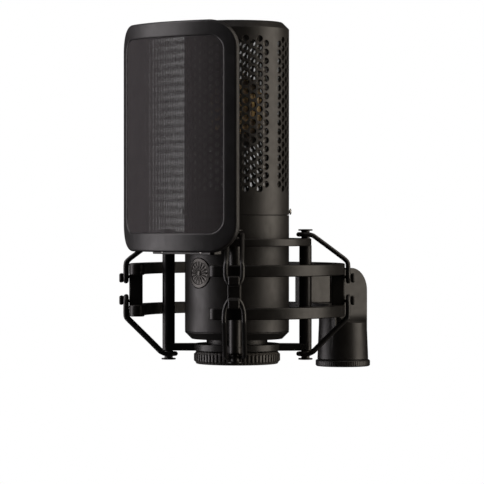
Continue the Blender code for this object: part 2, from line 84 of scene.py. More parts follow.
# Outer frame
RING_OUTER = 0.058
RING_INNER = 0.050
RING_HEIGHT = 0.0061
RING_LEVELS = {"upper_ring": 0.0553, "lower_ring": 0.0331}
RING_OPENING = 31.0
CORNER_CIRCLE = 0.0544
CORNER_HALF = 0.0035
HOOK_LEVELS = ((0.0511, 0.0505), (0.0381, 0.0385))

# Tilt joint
PIVOT_Z = 0.042
EAR_RADIUS = 0.0128
KNUCKLE_HALF = 0.0063

# Pop filter
FILTER_RADIUS = 0.086
FILTER_Y = MIC_Y + 0.0314
FILTER_HALF = 0.0446
FILTER_LOW = 0.0649
FILTER_HIGH = 0.1856
TOP_BORDER = 0.0084
SIDE_BORDER = 0.0071
FOOT_BORDER = 0.0102
FILTER_CORNER = 0.0145
WINDOW_CORNER = 0.0075
FRONT_LAYER = (0.0, 0.0026)
REAR_LAYER = (0.0027, 0.0058)
RIM_EDGE = 0.0012
FOLD_STEP = 1.25
FOLDS = 24

# Cords: (distance from the axis, half the strand spacing, height)
CORD_RADIUS = 0.00125
UPPER_CORD = (
    (0.0380, 0.00375, 0.0740), (0.0409, 0.00380, 0.0733), (0.0470, 0.00385, 0.0688),
    (0.0577, 0.00400, 0.0608), (0.0594, 0.00420, 0.0591), (0.0597, 0.00435, 0.0570),
    (0.0597, 0.00430, 0.0530), (0.0597, 0.00385, 0.0509), (0.0597, 0.00240, 0.0487),
)
LOWER_CORD = (
    (0.0385, 0.00440, 0.00975), (0.0410, 0.00515, 0.0110), (0.0480, 0.00515, 0.0180),
    (0.0579, 0.00515, 0.0277), (0.0595, 0.00515, 0.0294), (0.0597, 0.00515, 0.0316),
    (0.0597, 0.00490, 0.0350), (0.0597, 0.00390, 0.0383), (0.0597, 0.00240, 0.0405),
)
# The places in a route between which a loop stretches as the cradle moves in the frame
HOOK_END, PEG_END = 5, 2

# Studio
FLOOR_Z = -1.4
FLOOR_RADIUS = 3.0
BACKDROP_SEEN = 1.0
BACKDROP_LIGHT = 0.012

ALONG_X = (0.0, math.radians(90), 0.0)
ALONG_Y = (math.radians(-90), 0.0, 0.0)
FACING_X = (math.radians(90), 0.0, math.radians(90))
ON_AXIS = (0.0, MIC_Y, 0.0)
AT_PIVOT = (0.0, 0.0, PIVOT_Z)


# Materials


def graph(material):
    """The node tree with an adder that wires named inputs, and the shader."""
    material.use_nodes = True
    tree = material.node_tree
    shader = tree.nodes["Principled BSDF"]

    def add(kind, values=(), links=(), **settings):
        node = tree.nodes.new(kind)
        for key, value in settings.items():
            setattr(node, key, value)
        for key, value in dict(values).items():
            node.inputs[key].default_value = value
        for key, socket in dict(links).items():
            tree.links.new(socket, node.inputs[key])
        return node

    return tree, shader, add


def blotches(add, vector, scale, detail, low, high):
    """Noise remapped to a range."""
    noise = add("ShaderNodeTexNoise", {"Scale": scale, "Detail": detail}, {"Vector": vector})
    spread = add("ShaderNodeMapRange", {"From Min": 0.3, "From Max": 0.7, "To Min": low, "To Max": high},
                 {"Value": noise.outputs["Fac"]})
    return spread.outputs["Result"]


def finish(name, colour, rough, grain=4000.0, bump=0.12, metallic=0.0, tint=0.12, specular=0.5,
           depth=0.00004, streaks=(1.0, 1.0, 1.0)):
    """A surface with fine grain, uneven gloss and slightly uneven colour."""
    material = bpy.data.materials.new(name)
    tree, shader, add = graph(material)
    spot = add("ShaderNodeTexCoord").outputs["Object"]
    spot = add("ShaderNodeMapping", {"Scale": streaks}, {"Vector": spot}).outputs["Vector"]
    shade = blotches(add, spot, 90.0, 3.0, 1.0 - tint, 1.0 + tint)
    fleck = blotches(add, spot, grain * 0.6, 1.0, 0.88, 1.12)
    both = add("ShaderNodeMath", {}, {0: shade, 1: fleck}, operation="MULTIPLY").outputs[0]
    mixed = add("ShaderNodeVectorMath", {0: colour}, {}, operation="SCALE")
    tree.links.new(both, mixed.inputs["Scale"])
    tree.links.new(mixed.outputs[0], shader.inputs["Base Color"])
    gloss = blotches(add, spot, 260.0, 4.0, rough - 0.05, rough + 0.06)
    tree.links.new(gloss, shader.inputs["Roughness"])
    noise = add("ShaderNodeTexNoise", {"Scale": grain, "Detail": 2.0}, {"Vector": spot})
    raised = add("ShaderNodeBump", {"Strength": bump, "Distance": depth},
                 {"Height": noise.outputs["Fac"]})
    tree.links.new(raised.outputs["Normal"], shader.inputs["Normal"])
    shader.inputs["Metallic"].default_value = metallic
    shader.inputs["Specular IOR Level"].default_value = specular
    return material


def cord_finish():
    """Braided elastic: two shades of yarn following the braid, with sheen."""
    material = bpy.data.materials.new("braided_elastic")
    tree, shader, add = graph(material)
    along = add("ShaderNodeUVMap").outputs["UV"]
    weave = add("ShaderNodeTexWave", {"Scale": 0.9, "Distortion": 0.6, "Detail": 1.0}, {"Vector": along},
                bands_direction="DIAGONAL")
    colour = add("ShaderNodeValToRGB", {}, {"Fac": weave.outputs["Fac"]})
    colour.color_ramp.elements[0].color = (0.0045, 0.0043, 0.0042, 1.0)
    colour.color_ramp.elements[1].color = (0.0130, 0.0122, 0.0118, 1.0)
    tree.links.new(colour.outputs["Color"], shader.inputs["Base Color"])
    spot = add("ShaderNodeTexCoord").outputs["Object"]
    fuzz = add("ShaderNodeTexNoise", {"Scale": 9000.0, "Detail": 2.0}, {"Vector": spot})
    raised = add("ShaderNodeBump", {"Strength": 0.15, "Distance": 0.00004},
                 {"Height": fuzz.outputs["Fac"]})
    tree.links.new(raised.outputs["Normal"], shader.inputs["Normal"])
    gloss = blotches(add, spot, 900.0, 2.0, 0.34, 0.46)
    tree.links.new(gloss, shader.inputs["Roughness"])
    shader.inputs["Sheen Weight"].default_value = 0.04
    return material


def rod_finish(name, colour, rough, lines):
    """Turned metal: fine tool lines round the local Z, as rings of gloss."""
    material = bpy.data.materials.new(name)
    tree, shader, add = graph(material)
    spot = add("ShaderNodeTexCoord").outputs["Object"]
    stretched = add("ShaderNodeMapping", {"Scale": (1.0, 1.0, 12.0)}, {"Vector": spot}).outputs["Vector"]
    ring = add("ShaderNodeTexNoise", {"Scale": lines, "Detail": 3.0}, {"Vector": stretched})
    gloss = add("ShaderNodeMapRange", {"To Min": rough - 0.08, "To Max": rough + 0.10},
                {"Value": ring.outputs["Fac"]})
    tree.links.new(gloss.outputs["Result"], shader.inputs["Roughness"])
    shade = blotches(add, spot, 300.0, 2.0, 0.88, 1.10)
    mixed = add("ShaderNodeVectorMath", {0: colour}, {"Scale": shade}, operation="SCALE")
    tree.links.new(mixed.outputs[0], shader.inputs["Base Color"])
    raised = add("ShaderNodeBump", {"Strength": 0.10, "Distance": 0.00003},
                 {"Height": ring.outputs["Fac"]})
    tree.links.new(raised.outputs["Normal"], shader.inputs["Normal"])
    shader.inputs["Metallic"].default_value = 1.0
    return material


def floor_finish():
    """A pale studio floor that glows evenly and has a faint grain."""
    material = bpy.data.materials.new("pale_floor")
    _, shader, add = graph(material)
    spot = add("ShaderNodeTexCoord").outputs["Object"]
    level = blotches(add, spot, 3.0, 3.0, 0.84, 0.90)
    material.node_tree.links.new(level, shader.inputs["Emission Strength"])
    shader.inputs["Emission Color"].default_value = (1.0, 1.0, 1.0, 1.0)
    shader.inputs["Base Color"].default_value = (0.02, 0.02, 0.02, 1.0)
    shader.inputs["Roughness"].default_value = 1.0
    return material


SHELL_PAINT = finish("satin_shell_paint", (0.0150, 0.0138, 0.0126), 0.44, grain=5200.0, bump=0.10)
MOUNT_PLASTIC = finish("moulded_mount_plastic", (0.0110, 0.0102, 0.0094), 0.36, grain=3600.0, bump=0.14,
                       specular=0.38)
SOCKET_PAINT = finish("socket_paint", (0.0110, 0.0102, 0.0094), 0.38, grain=4200.0, bump=0.14,
                      specular=0.38)
FILTER_PLASTIC = finish("filter_frame_plastic", (0.0170, 0.0164, 0.0168), 0.40, grain=4200.0, bump=0.12,
                        specular=0.42)
FILTER_WIRE = finish("filter_wire_paint", (0.122, 0.114, 0.117), 0.7, grain=8000.0, bump=0.05, tint=0.05,
                     specular=0.15)
LINER_WIRE = finish("liner_wire", (0.40, 0.38, 0.36), 0.45, grain=8000.0, bump=0.05, metallic=0.3)
RING_PAINT = finish("knurled_ring_paint", (0.044, 0.0405, 0.037), 0.44, grain=5200.0, bump=0.10)
EMBLEM = finish("emblem_metal", (0.060, 0.057, 0.053), 0.34, grain=6000.0, bump=0.08, metallic=0.7)
INSULATOR = finish("moulded_insulator", (0.045, 0.045, 0.045), 0.5, grain=3000.0, bump=0.2)
SOFT_RUBBER = finish("soft_rubber", (0.012, 0.012, 0.012), 0.7, grain=2500.0, bump=0.3)
SOLDER_MASK = finish("solder_mask", (0.015, 0.11, 0.04), 0.4, grain=1500.0, bump=0.15,
                     streaks=(1.0, 1.0, 3.0))
GOLD_FILM = finish("gold_film", (0.90, 0.62, 0.26), 0.24, grain=1800.0, bump=0.04, metallic=1.0,
                   tint=0.08)
STEEL = rod_finish("turned_steel", (0.56, 0.55, 0.53), 0.26, 900.0)
BRASS = rod_finish("turned_brass", (0.74, 0.51, 0.23), 0.28, 900.0)
ELASTIC = cord_finish()


# Shapes


def made(name, mesh, material, body, nodes, sharp=35.0, stretch=None):
    """Adds a finished mesh in place of its CAD nodes, riding on its body, or, when stretch is given,
    with its place baked in and no body.
    """
    form = bmesh.new()
    form.from_mesh(mesh)
    bmesh.ops.recalc_face_normals(form, faces=form.faces)
    form.to_mesh(mesh)
    form.free()
    mesh.materials.clear()
    mesh.materials.append(material)
    mesh.shade_smooth()
    mesh.set_sharp_from_angle(angle=math.radians(sharp))
    mesh = flat_faced(mesh)
    mesh.name = name
    obj = bpy.data.objects.new(name, mesh)
    bpy.context.scene.collection.objects.link(obj)
    if stretch:
        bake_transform(obj)
    else:
        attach(obj, body)
    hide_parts(*nodes)


def flat_faced(mesh):
    """The mesh with normals that follow its large faces, so that they stay flat beside rounded edges."""
    holder = bpy.data.objects.new("normals", mesh)
    bpy.context.scene.collection.objects.link(holder)
    weighted = holder.modifiers.new("normals", "WEIGHTED_NORMAL")
    weighted.weight = 90
    weighted.keep_sharp = True
    bpy.context.view_layer.update()
    result = bpy.data.meshes.new_from_object(holder.evaluated_get(bpy.context.evaluated_depsgraph_get()))
    bpy.data.objects.remove(holder)
    bpy.data.meshes.remove(mesh)
    return result


def meshed(verts, faces):
    """A mesh from its points and faces."""
    mesh = bpy.data.meshes.new("shape")
    mesh.from_pydata(verts, [], faces)
    return mesh


def placed(mesh, place=(0.0, 0.0, 0.0), turn=(0.0, 0.0, 0.0)):
    """The mesh, turned and then moved."""
    mesh.transform(Matrix.LocRotScale(Vector(place), Euler(turn), None))
    return mesh


def joined(*meshes):
    """One mesh that holds all the shapes."""
    form = bmesh.new()
    for mesh in meshes:
        form.from_mesh(mesh)
        bpy.data.meshes.remove(mesh)
    result = bpy.data.meshes.new("shape")
    form.to_mesh(result)
    form.free()
    return result


def circle(radius, count):
    turns = [2 * math.pi * i / count for i in range(count)]
    return [(radius * math.cos(t), radius * math.sin(t)) for t in turns]


def arc(radius, start, end, count, centre=(0.0, 0.0)):
    turns = [math.radians(start + (end - start) * i / count) for i in range(count + 1)]
    return [(centre[0] + radius * math.cos(t), centre[1] + radius * math.sin(t)) for t in turns]


def round_mic(radius, angle, across=0.0):
    """The plan position at this distance and front angle, moved sideways by across."""
    turn = math.radians(angle)
    outward = Vector((math.sin(turn), -math.cos(turn)))
    sideways = Vector((math.cos(turn), math.sin(turn)))
    return outward * radius + sideways * across


def softened(points, radius, steps=3, closed=True):
    """Rounds the corners of an outline or of a profile."""
    rounded = []
    for i, point in enumerate(points):
        here = Vector(point)
        if not closed and i in (0, len(points) - 1):
            rounded.append(tuple(here))
            continue
        before = Vector(points[i - 1]) - here
        after = Vector(points[(i + 1) % len(points)]) - here
        opening = before.angle(after)
        if opening > math.radians(168):
            rounded.append(tuple(here))
            continue
        cut = min(radius / math.tan(opening / 2), before.length * 0.45, after.length * 0.45)
        first, last = here + before.normalized() * cut, here + after.normalized() * cut
        for k in range(steps + 1):
            t = k / steps
            rounded.append(tuple(first.lerp(here, t).lerp(here.lerp(last, t), t)))
    return rounded


def lathed(profile, steps=96, wobble=None):
    """Turns a (radius, height) profile round Z; one that starts off the axis closes on itself."""
    verts, rows, faces = [], [], []
    for i, (radius, height) in enumerate(profile):
        if radius < 1e-7:
            rows.append([len(verts)] * steps)
            verts.append((0.0, 0.0, height))
            continue
        rows.append(list(range(len(verts), len(verts) + steps)))
        for k in range(steps):
            turn = 2 * math.pi * k / steps
            out = radius + (wobble(i, k) if wobble else 0.0)
            verts.append((out * math.cos(turn), out * math.sin(turn), height))
    pairs = list(zip(rows, rows[1:]))
    if profile[0][0] > 1e-7:
        pairs.append((rows[-1], rows[0]))
    for upper, lower in pairs:
        for k in range(steps):
            n = (k + 1) % steps
            face = list(dict.fromkeys((upper[k], lower[k], lower[n], upper[n])))
            if len(face) > 2:
                faces.append(face)
    return meshed(verts, faces)


def slab(loops, low, high, edge, steps=3):
    """An extruded outline, the first loop, less the other loops, with rounded rims."""
    curve = bpy.data.curves.new("slab", "CURVE")
    curve.dimensions = "2D"
    curve.fill_mode = "BOTH"
    curve.extrude = (high - low) / 2 - edge
    curve.bevel_depth = edge
    curve.bevel_resolution = steps - 1
    curve.offset = -edge
    for number, loop in enumerate(loops):
        points = list(loop) if number == 0 else list(reversed(loop))
        spline = curve.splines.new("POLY")
        spline.points.add(len(points) - 1)
        for point, (x, y) in zip(spline.points, points):
            point.co = (x, y, 0.0, 1.0)
        spline.use_cyclic_u = True
    flat = bpy.data.objects.new("slab", curve)
    bpy.context.scene.collection.objects.link(flat)
    bpy.context.view_layer.update()
    shown = flat.evaluated_get(bpy.context.evaluated_depsgraph_get())
    mesh = bpy.data.meshes.new_from_object(shown)
    bpy.data.objects.remove(flat)
    form = bmesh.new()
    form.from_mesh(mesh)
    bmesh.ops.remove_doubles(form, verts=form.verts, dist=0.000002)
    bmesh.ops.translate(form, vec=(0.0, 0.0, (low + high) / 2), verts=form.verts)
    form.to_mesh(mesh)
    form.free()
    return mesh


def brick(low, high, edge=0.0004):
    """A box between two corners with rounded edges."""
    low, high = Vector(low), Vector(high)
    form = bmesh.new()
    bmesh.ops.create_cube(form, size=1.0)
    bmesh.ops.scale(form, vec=high - low, verts=form.verts)
    bmesh.ops.translate(form, vec=(low + high) / 2, verts=form.verts)
    bmesh.ops.bevel(form, geom=form.edges, offset=edge, segments=3, profile=0.5, affect="EDGES")
    mesh = bpy.data.meshes.new("brick")
    form.to_mesh(mesh)
    form.free()
    return mesh


def cut(mesh, cutters, operation="DIFFERENCE"):
    """The mesh less, or with, each of the others."""
    holder = bpy.data.objects.new("cut", mesh)
    bpy.context.scene.collection.objects.link(holder)
    tools = []
    for cutter in cutters:
        tool = bpy.data.objects.new("cutter", cutter)
        bpy.context.scene.collection.objects.link(tool)
        boolean = holder.modifiers.new("cut", "BOOLEAN")
        boolean.operation = operation
        boolean.object = tool
        tools.append(tool)
    bpy.context.view_layer.update()
    shown = holder.evaluated_get(bpy.context.evaluated_depsgraph_get())
    result = bpy.data.meshes.new_from_object(shown)
    for obj in (*tools, holder):
        bpy.data.objects.remove(obj)
    return result


def eased(mesh, edge, angle=40.0, segments=2):
    """Rounds a mesh's sharp edges."""
    form = bmesh.new()
    form.from_mesh(mesh)
    bmesh.ops.remove_doubles(form, verts=form.verts, dist=0.000005)
    bmesh.ops.dissolve_limit(form, angle_limit=math.radians(1.0), verts=form.verts, edges=form.edges)
    limit = math.radians(angle)
    sharp = [e for e in form.edges if len(e.link_faces) == 2 and e.calc_face_angle(0.0) > limit]
    bmesh.ops.bevel(form, geom=sharp, offset=edge, segments=segments, profile=0.5, affect="EDGES",
                    clamp_overlap=True)
    form.to_mesh(mesh)
    form.free()
    return mesh


def wires(paths, half_width, half_depth):
    """Square wires; each path is a list of (point, outward, sideways)."""
    verts, faces = [], []
    for path in paths:
        first = len(verts)
        for point, outward, sideways in path:
            for a, b in ((-1, -1), (1, -1), (1, 1), (-1, 1)):
                verts.append(point + sideways * (a * half_width) + outward * (b * half_depth))
        for i in range(len(path) - 1):
            near, far = first + 4 * i, first + 4 * i + 4
            faces += [(near + k, near + (k + 1) % 4, far + (k + 1) % 4, far + k) for k in range(4)]
        end = len(verts) - 4
        if (path[0][0] - path[-1][0]).length < 1e-9:
            faces[-4:] = [(end - 4 + k, end - 4 + (k + 1) % 4, first + (k + 1) % 4, first + k)
                          for k in range(4)]
            del verts[end:]
        else:
            faces += [(first + 3, first + 2, first + 1, first), (end, end + 1, end + 2, end + 3)]
    return meshed(verts, faces)


# Microphone


def grille():
    """The perforated shell: staggered round holes in front and behind, a plain strip down each side."""
    turns = [math.radians(-84 + 2 * i) for i in range(84)]
    turns += [math.radians(84 + 3 * i) for i in range(4)]
    turns += [math.radians(96 + 2 * i) for i in range(84)]
    turns += [math.radians(264 + 3 * i) for i in range(4)]
    around = len(turns)
    quarter = HOLE_ROW / 2
    levels = [SHELL_TOP - 0.0042] + [FIRST_HOLE + HOLE_ROW - quarter * j for j in range(73)]
    levels += [SEAM + 0.0004]
    inner = SHELL_RADIUS - SHELL_WALL
    verts, faces, known = [], [], {}

    def point(radius, turn, height):
        verts.append((radius * math.sin(turn), MIC_Y - radius * math.cos(turn), height))
        return len(verts) - 1

    def grid(radius, i, j):
        key = (radius, i % around, j)
        if key not in known:
            known[key] = point(radius, turns[i % around], levels[j])
        return known[key]

    taken = set()
    rim = [(2, 0), (2, 1), (2, 2), (1, 2), (0, 2), (-1, 2), (-2, 2), (-2, 1),
           (-2, 0), (-2, -1), (-2, -2), (-1, -2), (0, -2), (1, -2), (2, -2), (2, -1)]
    for half in (0, 88):
        for column in range(21):
            middle = half + 4 * column + 2
            rows = range(18) if column % 2 else range(17)
            for row in rows:
                level = 1 + 4 * row + (2 if column % 2 else 4)
                centre, height = turns[middle % around], levels[level]
                taken |= {(middle + a, level + b) for a in (-2, -1, 0, 1) for b in (-2, -1, 0, 1)}
                rings = [[grid(SHELL_RADIUS, middle + a, level - b) for a, b in rim]]
                for radius, hole in ((SHELL_RADIUS, HOLE_RADIUS + 0.00014),
                                     (SHELL_RADIUS - 0.00014, HOLE_RADIUS), (inner, HOLE_RADIUS)):
                    ring = []
                    for k in range(16):
                        swing = math.pi * k / 8
                        turn = centre + hole * math.cos(swing) / SHELL_RADIUS
                        ring.append(point(radius, turn, height + hole * math.sin(swing)))
                    rings.append(ring)
                rings.append([grid(inner, middle + a, level - b) for a, b in rim])
                for near, far in zip(rings, rings[1:]):
                    faces += [(near[k], near[(k + 1) % 16], far[(k + 1) % 16], far[k])
                              for k in range(16)]
    for radius in (SHELL_RADIUS, inner):
        for i in range(around):
            for j in range(len(levels) - 1):
                if (i, j) not in taken:
                    square = ((i, j), (i + 1, j), (i + 1, j + 1), (i, j + 1))
                    faces.append([grid(radius, a, b) for a, b in square])

    def ring(radius, height):
        return [point(radius, turn, height) for turn in turns]

    def bridge(near, far):
        for i in range(around):
            faces.append((near[i], near[(i + 1) % around], far[(i + 1) % around], far[i]))

    top, last = SHELL_TOP, len(levels) - 1
    caps = (
        (SHELL_RADIUS, [(0.028, top - 0.0037), (0.02785, top - 0.00345), (0.0246, top - 0.0002),
                        (0.02425, top), (0.0205, top), (0.0203, top - 0.0003), (0.0110, top - 0.0003)],
         top - 0.0003),
        (inner, [(0.0266, top - 0.0046), (0.0234, top - 0.0014), (0.0110, top - 0.0014)], top - 0.0014),
    )
    for radius, profile, centre_height in caps:
        near = [grid(radius, i, 0) for i in range(around)]
        for out, height in profile:
            far = ring(out, height)
            bridge(near, far)
            near = far
        centre = point(0.0, 0.0, centre_height)
        faces += [(near[i], near[(i + 1) % around], centre) for i in range(around)]
    near = [grid(SHELL_RADIUS, i, last) for i in range(around)]
    for out, height in ((SHELL_RADIUS - 0.00015, SEAM + 0.0002), (inner, SEAM + 0.0002)):
        far = ring(out, height)
        bridge(near, far)
        near = far
    bridge(near, [grid(inner, i, last) for i in range(around)])
    made("grille", meshed(verts, faces), SHELL_PAINT, "microphone", ["grille_shell"],
         sharp=30.0)


def liner():
    """Woven wire behind the grille."""
    radius, low, high, pitch, around = 0.0261, 0.0890, SHELL_TOP - 0.0052, 0.0005, 328
    up, centre = Vector((0.0, 0.0, 1.0)), Vector(ON_AXIS)
    paths = []
    for i in range(around):
        turn = 2 * math.pi * i / around
        outward = Vector((math.sin(turn), -math.cos(turn), 0.0))
        foot = centre + outward * (radius + 0.00008)
        paths.append([(foot + up * level, outward, outward.cross(up)) for level in (low, high)])
    for j in range(int((high - low) / pitch)):
        loop = []
        for i in range(73):
            turn = 2 * math.pi * (i % 72) / 72
            outward = Vector((math.sin(turn), -math.cos(turn), 0.0))
            height = low + pitch * (j + 0.5)
            loop.append((centre + outward * (radius - 0.00008) + up * height, outward, up))
        paths.append(loop)
    made("grille_lining", wires(paths, 0.00008, 0.00006), LINER_WIRE, "microphone",
         ["grille_liner"], sharp=60.0)


def sleeve():
    """The plain lower shell, with a lip that closes the seam and a pocket for the badge."""
    outer, inner, low = SHELL_RADIUS, 0.026, 0.022
    lip, top = outer - 0.0008, SEAM + 0.00019
    profile = [(outer - 0.0002, SEAM), (outer, SEAM - 0.0002), (outer, low + 0.0002),
               (outer - 0.0002, low), (inner, low), (inner, top), (lip, top), (lip, SEAM)]
    body = placed(lathed(profile, 144), ON_AXIS)
    seat, place = outer - 0.001, (0.0, MIC_Y, BADGE_Z)
    pocket = placed(lathed([(0.0, -0.020), (0.0083, -0.020), (0.0083, -0.030), (0.0, -0.030)], 64),
                    place, ALONG_Y)
    floor = placed(lathed([(0.0, 0.012), (seat, 0.012), (seat, -0.012), (0.0, -0.012)], 144),
                   place)
    body = cut(body, [cut(pocket, [floor])])
    made("sleeve", body, SHELL_PAINT, "microphone", ["body_sleeve"], sharp=30.0)


def emblem():
    """A plain disc with a raised rim, a ring of rays and a domed centre, bent to the sleeve."""
    profile = [(0.0, 0.00035), (0.0010, 0.00030), (0.0017, 0.0), (0.0019, -0.0001), (0.0058, -0.0001),
               (0.0060, 0.0), (0.0062, 0.0003), (0.0077, 0.0003), (0.0080, 0.0), (0.0080, -0.0008),
               (0.0, -0.0008)]
    field = [(radius, -0.0001) for radius in (0.0024, 0.0030, 0.0040, 0.0050)]
    mesh = lathed(profile[:4] + field + profile[4:], 144)
    for vert in mesh.vertices:
        radius = math.hypot(vert.co.x, vert.co.y)
        height = vert.co.z
        if 0.0022 < radius < 0.0055 and height > -0.0005:
            swing = math.atan2(vert.co.y, vert.co.x)
            height += 0.00028 * max(0.0, math.cos(swing * 16)) ** 0.7
        x, z = vert.co.x, vert.co.y
        y = -math.sqrt((SHELL_RADIUS + height) ** 2 - x * x)
        vert.co = (x, MIC_Y + y, BADGE_Z + z)
    made("emblem", mesh, EMBLEM, "microphone", ["badge"], sharp=28.0)


def end_cap():
    """The chamfered foot, with its neck and the recess for the connector."""
    outer, seat, foot = SHELL_RADIUS, 0.0257, 0.0179
    profile = softened([
        (seat, 0.0265), (seat, 0.0218), (outer, 0.0218), (outer, foot + 0.0036), (outer - 0.0036, foot),
        (0.0164, foot), (0.0164, 0.0053), (0.0083, 0.0053), (0.0083, 0.0204), (0.0102, 0.0204),
        (0.0102, 0.0265),
    ], 0.0003, 2)
    made("foot_cap", placed(lathed(profile, 128), ON_AXIS), SHELL_PAINT, "microphone",
         ["end_cap"])


def grille_screws():
    """Four cross-slotted screws just above the seam."""
    profile = softened([(0.0, 0.0293), (0.0008, 0.0293), (0.0015, 0.0290), (0.0018, 0.0283),
                        (0.0009, 0.0283), (0.0009, 0.0220), (0.0, 0.0220)], 0.0002, 2, closed=False)
    slots = ((0.0011, 0.00022), (0.00022, 0.0011))
    for number, angle in enumerate(CORNERS.values(), start=1):
        x, y = round_mic(1.0, angle)
        turn = (0.0, math.radians(90), math.atan2(y, x))
        place = (0.0, MIC_Y, SEAM + SCREW_RISE)
        cross = [brick((-a, -b, 0.0289), (a, b, 0.0300), 0.00005) for a, b in slots]
        screw = cut(lathed(profile, 32), cross)
        made(f"head_screw_{number}", placed(screw, place, turn), STEEL, "microphone",
             [f"grille_screw_{number}"])


# Cradle


def peg(angle, root, out):
    """A mushroom peg that stands up (1) or hangs down (-1) from the height of its root."""
    profile = softened([(0.0, 0.0049), (PEG_HEAD, 0.0049), (PEG_HEAD, 0.0041), (PEG_NECK, 0.0040),
                        (PEG_NECK, 0.0004), (PEG_NECK + 0.0005, -0.0004), (0.0, -0.0004)],
                       0.0003, 3, closed=False)
    if out < 0:
        profile = [(radius, -height) for radius, height in profile]
    x, y = round_mic(POST_CIRCLE, angle)
    return placed(lathed(profile, 40), (x, MIC_Y + y, root))


def base_outline():
    """The hub of the cradle's base, with an arm to each post."""
    half = math.degrees(math.asin(POST_RADIUS / HUB_RADIUS))
    angles = sorted(CORNERS.values())
    outline = []
    for angle, following in zip(angles, angles[1:] + [angles[0] + 360]):
        for i in range(13):
            swing = math.radians(-90 + 15 * i)
            out = POST_CIRCLE + POST_RADIUS * math.cos(swing)
            outline.append(round_mic(out, angle, POST_RADIUS * math.sin(swing)))
        first, last = angle + half + 4, following - half - 4
        outline += [round_mic(HUB_RADIUS, first + (last - first) * i / 12) for i in range(13)]
    return outline


def cradle():
    """The inner holder: a ring and a base on four posts, with a peg for each elastic loop."""
    circles = [circle(CRADLE_OUTER, count=120), circle(CRADLE_INNER, count=120)]
    ring = placed(slab(circles, *CRADLE_LEVELS, 0.0005), ON_AXIS)
    pegs = [peg(angle, CRADLE_LEVELS[1], 1) for angle in CORNERS.values()]
    made("holder_ring", joined(ring, *pegs), MOUNT_PLASTIC, "cradle", ["cradle_ring"])
    base = placed(slab([base_outline(), circle(HUB_BORE, count=80)], *BASE_LEVELS, 0.0005), ON_AXIS)
    pegs = [peg(angle, BASE_LEVELS[0], -1) for angle in CORNERS.values()]
    made("holder_base", joined(base, *pegs), MOUNT_PLASTIC, "cradle", ["cradle_base"])
    profile = softened([(0.0, 0.0680), (POST_RADIUS, 0.0680), (POST_RADIUS, 0.0151), (0.0, 0.0151)],
                       0.0001, closed=False)
    for corner, angle in CORNERS.items():
        x, y = round_mic(POST_CIRCLE, angle)
        made(f"holder_post_{corner}", placed(lathed(profile, 40), (x, MIC_Y + y, 0.0)),
             MOUNT_PLASTIC, "cradle", [f"cradle_post_{corner}"])


def retaining_ring():
    """The threaded ring under the microphone, with upright ribs between its chamfers."""
    ribs, samples = 64, 6
    profile = [(0.0216, 0.0112), (0.0220, 0.0111), (0.0226, 0.0102), (0.0232, 0.0098), (0.0232, 0.0080),
               (0.0232, 0.0062), (0.0226, 0.0058), (0.0219, 0.0046), (0.0215, 0.0045), (0.0168, 0.0045),
               (0.0168, 0.0112)]
    depth = {2: 0.0002, 3: 0.0007, 4: 0.0007, 5: 0.0007, 6: 0.0002}
    shape = (0.0, 0.0, 0.1, 1.0, 1.0, 0.1)

    def rib(i, k):
        return -depth.get(i, 0.0) * shape[k % samples]

    made("ribbed_ring", placed(lathed(profile, ribs * samples, rib), ON_AXIS), RING_PAINT,
         "retaining_ring", ["retaining_ring"])


# Outer frame


def open_ring():
    """The outline of a ring that is open at the front, with round ends."""
    half, middle = (RING_OUTER - RING_INNER) / 2, (RING_OUTER + RING_INNER) / 2
    first = RING_OPENING + math.degrees(math.asin(half / middle))
    around = [first + (360.0 - 2 * first) * i / 110 for i in range(111)]
    outline = [tuple(round_mic(RING_OUTER, angle)) for angle in around]
    for angle, side, inner in ((360.0 - first, 1, True), (first, -1, False)):
        for i in range(1, 12):
            t = math.pi * i / 12
            out, across = middle + side * half * math.cos(t), side * half * math.sin(t)
            outline.append(tuple(round_mic(out, angle, across)))
        if inner:
            outline += [tuple(round_mic(RING_INNER, a)) for a in reversed(around)]
    return outline


def outer_frame():
    """The two open rings and four corner posts, each post with a hook for either loop."""
    for name, middle in RING_LEVELS.items():
        ring = slab([open_ring()], middle - RING_HEIGHT / 2, middle + RING_HEIGHT / 2, 0.0006)
        made(f"frame_{name}", placed(ring, ON_AXIS), MOUNT_PLASTIC, "outer_frame", [name])
    low = RING_LEVELS["lower_ring"] + RING_HEIGHT / 2 - 0.0003
    high = RING_LEVELS["upper_ring"] - RING_HEIGHT / 2 + 0.0003
    for corner, angle in CORNERS.items():
        x, y = round_mic(CORNER_CIRCLE, angle)
        turn = (0.0, 0.0, math.atan2(y, x))
        square = [(a * CORNER_HALF, b * CORNER_HALF) for a, b in ((1, 1), (-1, 1), (-1, -1), (1, -1))]
        post = slab([softened(square, 0.0010, 4)], low, high, 0.0003, 2)
        shapes = [placed(post, (x, MIC_Y + y, 0.0), turn)]
        for neck_z, head_z in HOOK_LEVELS:
            neck = brick((CORNER_CIRCLE, -0.0016, neck_z - 0.0008),
                         (0.0620, 0.0016, neck_z + 0.0008), 0.0003)
            head = brick((0.0611, -0.0030, head_z - 0.0025),
                         (0.0633, 0.0030, head_z + 0.0025), 0.0009)
            shapes += [placed(piece, ON_AXIS, turn) for piece in (neck, head)]
        made(f"frame_post_{corner}", joined(*shapes), MOUNT_PLASTIC, "outer_frame",
             [f"corner_post_{corner}"])


